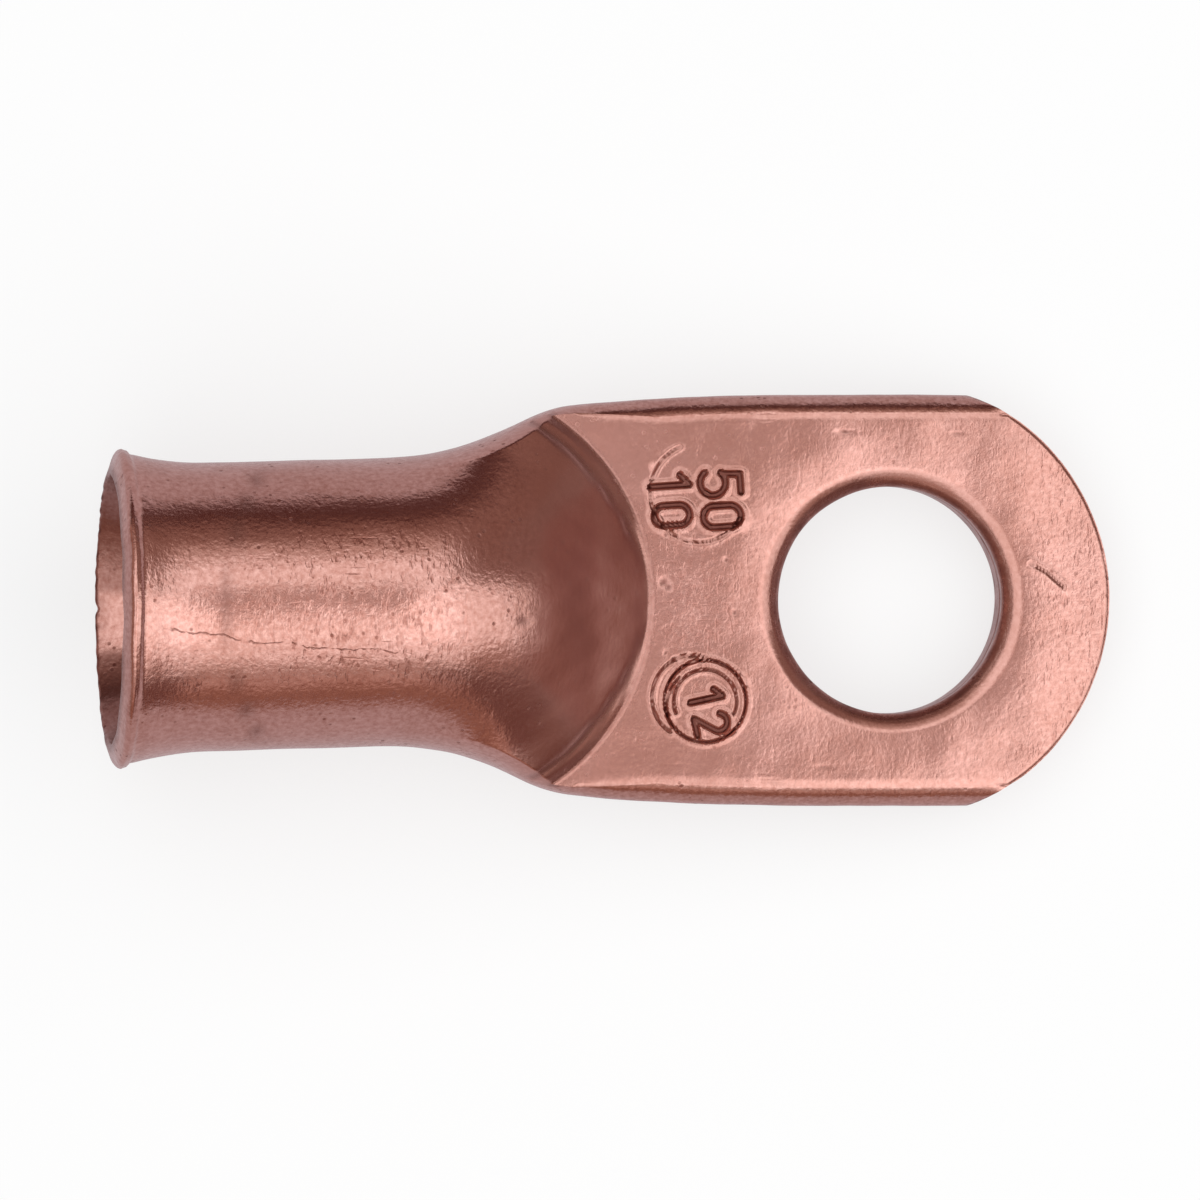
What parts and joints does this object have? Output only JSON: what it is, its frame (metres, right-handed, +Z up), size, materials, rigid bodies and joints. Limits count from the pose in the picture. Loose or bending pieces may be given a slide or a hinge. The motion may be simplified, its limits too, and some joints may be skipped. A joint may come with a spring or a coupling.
{
  "type": "cable lug",
  "caption": "Copper cable lug with a round flared barrel for the conductor, pressed flat into a palm with a stud hole and a rounded end.",
  "frame": {"origin": "centre of the stud hole on the palm's underside, which is the contact face", "axes": "+Z up through the stud hole, +X along the lug from the mouth to the palm's rounded end, +Y across the palm"},
  "size_m": [0.0478, 0.0196, 0.0152],
  "materials": {
    "copper": "annealed bare copper, satin, tumbled"
  },
  "bodies": {
    "root": {"cable_lug": "copper"}
  },
  "joints": []
}
